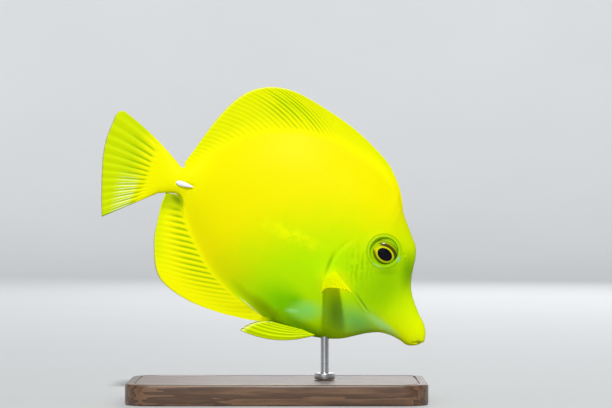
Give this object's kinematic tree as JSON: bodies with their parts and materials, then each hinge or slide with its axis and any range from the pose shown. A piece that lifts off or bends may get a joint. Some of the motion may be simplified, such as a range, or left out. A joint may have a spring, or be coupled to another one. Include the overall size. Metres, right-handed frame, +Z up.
{
  "type": "yellow tang display model",
  "caption": "Life-size still model of a yellow tang, nose down with its pectoral fins spread, held by one short rod on a flat wooden base.",
  "frame": {"origin": "centre of the underside of the stand's base, on the surface it stands on", "axes": "+X towards the fish's head, +Y to the fish's left, +Z up"},
  "size_m": [0.1271, 0.0698, 0.1224],
  "materials": {
    "skin": "satin, finely scaled, yellow turning lime on the cheek and pale on the breast",
    "fins": "thin satin membrane with raised rays",
    "eyes": "wet gloss, black pupil in a yellow-green iris",
    "spines": "smooth white bone",
    "stand_wood": "oiled walnut with a softened edge",
    "stand_steel": "satin"
  },
  "bodies": {
    "root": {"head": "skin", "trunk": "skin", "tail_stalk": "skin", "dorsal_fin": "fins", "anal_fin": "fins", "caudal_fin": "fins", "pectoral_fin_left": "fins", "pectoral_fin_right": "fins", "pelvic_fin_left": "fins", "pelvic_fin_right": "fins", "eye_left": "eyes", "eye_right": "eyes", "tail_spine_left": "spines", "tail_spine_right": "spines", "stand_base": "stand_wood", "stand_rod": "stand_steel"}
  },
  "joints": []
}
